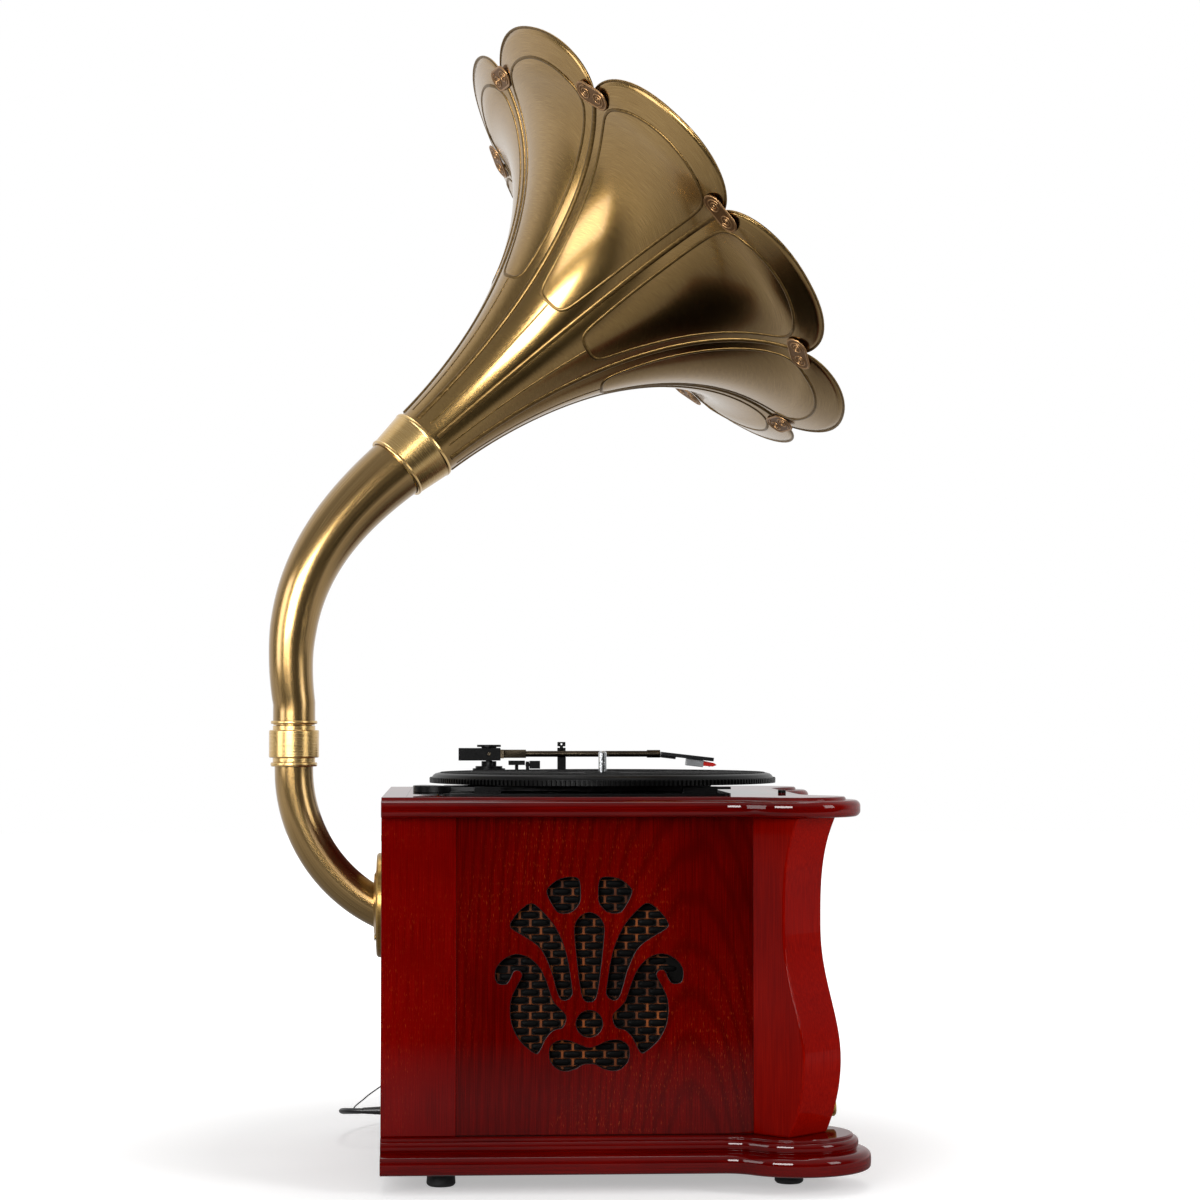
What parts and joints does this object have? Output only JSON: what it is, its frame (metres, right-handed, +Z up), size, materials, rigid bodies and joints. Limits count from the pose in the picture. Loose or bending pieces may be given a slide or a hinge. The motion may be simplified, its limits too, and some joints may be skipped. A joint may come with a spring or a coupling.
{
  "type": "gramophone",
  "caption": "Retro table gramophone with belt driven turntable, tone arm, veneered cabinet with grilles and corner posts, and a petal horn on a swivelling neck",
  "frame": {"origin": "on the floor under the middle of the whole object's box, without its leads", "axes": "+Z up, +X to the cabinet's front, +Y to its left"},
  "size_m": [0.5133, 0.5564, 0.9939],
  "materials": {
    "mahogany_veneer": "open-pored veneer under red gloss lacquer",
    "mahogany_gloss": "polished red lacquer",
    "plain_board": "bare fibreboard",
    "foot_rubber": "moulded matt rubber",
    "grille_cloth": "woven black cloth with copper thread",
    "speaker_metal": "black painted pressing",
    "speaker_paper": "pressed paper cone",
    "circuit_board": "green resin board",
    "transformer_steel": "laminated steel",
    "black_plastic": "moulded black plastic",
    "lead_rubber": "black flexible sheath",
    "screw_brass": "antique brass plated",
    "fascia_brass": "satin antique brass",
    "ivory_plastic": "glossy ivory plastic",
    "deck_plastic": "fine-grained black plastic",
    "mat_rubber": "ribbed matt rubber",
    "belt_rubber": "smooth flat belt",
    "motor_steel": "zinc-plated steel can",
    "turned_brass": "turned brass",
    "spindle_chrome": "polished chrome",
    "arm_metal": "dark bronze lacquer",
    "cartridge_grey": "grey moulded plastic",
    "stylus_red": "glossy red plastic",
    "horn_brass": "brushed antique brass sheet",
    "tube_brass": "antique brass tube",
    "collar_brass": "brushed bright brass",
    "clip_bronze": "stamped reddish bronze"
  },
  "bodies": {
    "root": {"rubber_feet": "foot_rubber", "base_moulding": "mahogany_gloss", "bottom_board": "plain_board", "side_panel_right": "mahogany_veneer", "side_panel_left": "mahogany_veneer", "rear_stiles": "mahogany_veneer", "back_panel": "mahogany_veneer", "front_panel": "mahogany_veneer", "corner_posts": "mahogany_gloss", "top_moulding": "mahogany_gloss", "top_panel": "mahogany_gloss", "grille_cloths": "grille_cloth", "speaker_frames": "speaker_metal", "speaker_cones": "speaker_paper", "amplifier_board": "circuit_board", "transformer": "transformer_steel", "rear_socket_plate": "black_plastic", "cord_gland": "lead_rubber", "cabinet_screws": "screw_brass", "control_fascia": "fascia_brass", "deck_plate": "deck_plastic", "motor": "motor_steel", "motor_cover": "deck_plastic", "drive_belt": "belt_rubber", "platter_bearing": "turned_brass", "tonearm_base": "black_plastic", "arm_rest": "black_plastic", "elbow_flange": "tube_brass", "flange_screws": "screw_brass", "elbow_pipe": "tube_brass", "swivel_collar": "collar_brass", "power_cord": "lead_rubber", "power_cord_coil": "lead_rubber", "mains_plug": "black_plastic", "aerial_wire": "lead_rubber", "aerial_coil": "lead_rubber"},
    "platter_unit": {"spindle": "spindle_chrome", "platter": "deck_plastic", "platter_mat": "mat_rubber"},
    "pulley": {"motor_pulley": "turned_brass"},
    "arm_swing": {"tonearm_turret": "black_plastic"},
    "arm_lift": {"tonearm_tube": "arm_metal", "counterweight": "black_plastic", "headshell": "black_plastic", "cartridge": "cartridge_grey", "stylus": "stylus_red"},
    "rest_clip": {"rest_clip": "black_plastic"},
    "lift_rail": {"lift_rail": "black_plastic"},
    "cue_lever": {"cue_lever": "black_plastic"},
    "speed_lever": {"speed_lever": "black_plastic"},
    "stop_lever": {"stop_lever": "black_plastic"},
    "volume_knob": {"volume_knob": "fascia_brass"},
    "tuning_knob": {"tuning_knob": "fascia_brass"},
    "mode_button": {"mode_button": "ivory_plastic"},
    "power_button": {"power_button": "black_plastic"},
    "horn": {"neck_spigot": "collar_brass", "neck_pipe": "tube_brass", "horn_collar": "collar_brass", "horn_petals": "horn_brass", "rim_clips": "clip_bronze"}
  },
  "joints": [
    {"name": "platter_spin", "type": "hinge", "parent": "root", "child": "platter_unit", "pos_m": [0.0348, -0.081, 0.3356], "axis": [0, 0, -1], "continuous": true},
    {"name": "pulley_spin", "type": "hinge", "parent": "root", "child": "pulley", "pos_m": [-0.1072, -0.166, 0.3177], "axis": [0, 0, -1], "continuous": true},
    {"name": "arm_swing", "type": "hinge", "parent": "root", "child": "arm_swing", "pos_m": [-0.0617, 0.073, 0.3493], "axis": [0, 0, -1], "range_deg": [0, 42]},
    {"name": "arm_lift", "type": "hinge", "parent": "arm_swing", "child": "arm_lift", "pos_m": [-0.0617, 0.073, 0.3493], "axis": [0, -1, 0], "range_deg": [0, 6]},
    {"name": "lift_rail_rise", "type": "slide", "parent": "root", "child": "lift_rail", "axis": [0, 0, 1], "range_m": [0, 0.0035]},
    {"name": "cue_lever_turn", "type": "hinge", "parent": "root", "child": "cue_lever", "pos_m": [-0.0197, 0.073, 0.3393], "axis": [1, 0, 0], "range_deg": [0, 60]},
    {"name": "rest_clip_close", "type": "hinge", "parent": "root", "child": "rest_clip", "pos_m": [0.0053, 0.0782, 0.3533], "axis": [-1, 0, 0], "range_deg": [-85, 0]},
    {"name": "speed_lever_slide", "type": "slide", "parent": "root", "child": "speed_lever", "axis": [1, 0, 0], "range_m": [0, 0.005]},
    {"name": "stop_lever_slide", "type": "slide", "parent": "root", "child": "stop_lever", "axis": [1, 0, 0], "range_m": [0, 0.005]},
    {"name": "volume_turn", "type": "hinge", "parent": "root", "child": "volume_knob", "pos_m": [0.192, -0.166, 0.056], "axis": [1, 0, 0], "range_deg": [0, 300]},
    {"name": "tuning_turn", "type": "hinge", "parent": "root", "child": "tuning_knob", "pos_m": [0.192, 0.074, 0.056], "axis": [1, 0, 0], "range_deg": [0, 300]},
    {"name": "mode_press", "type": "slide", "parent": "root", "child": "mode_button", "axis": [-1, 0, 0], "range_m": [0, 0.002], "stiffness_N_per_m": 250},
    {"name": "power_press", "type": "slide", "parent": "root", "child": "power_button", "axis": [0, 0, -1], "range_m": [0, 0.0015], "stiffness_N_per_m": 300, "springref_m": -0.001},
    {"name": "horn_swivel", "type": "hinge", "parent": "root", "child": "horn", "pos_m": [-0.234, -0.046, 0.3756], "axis": [0, 0, 1], "range_deg": [-75, 45]}
  ],
  "couplings": [
    {"joint": "pulley_spin", "follows": "platter_spin", "ratio": 15.5},
    {"joint": "lift_rail_rise", "follows": "arm_lift", "m_per_rad": 0.0334},
    {"joint": "cue_lever_turn", "follows": "arm_lift", "ratio": 10}
  ]
}
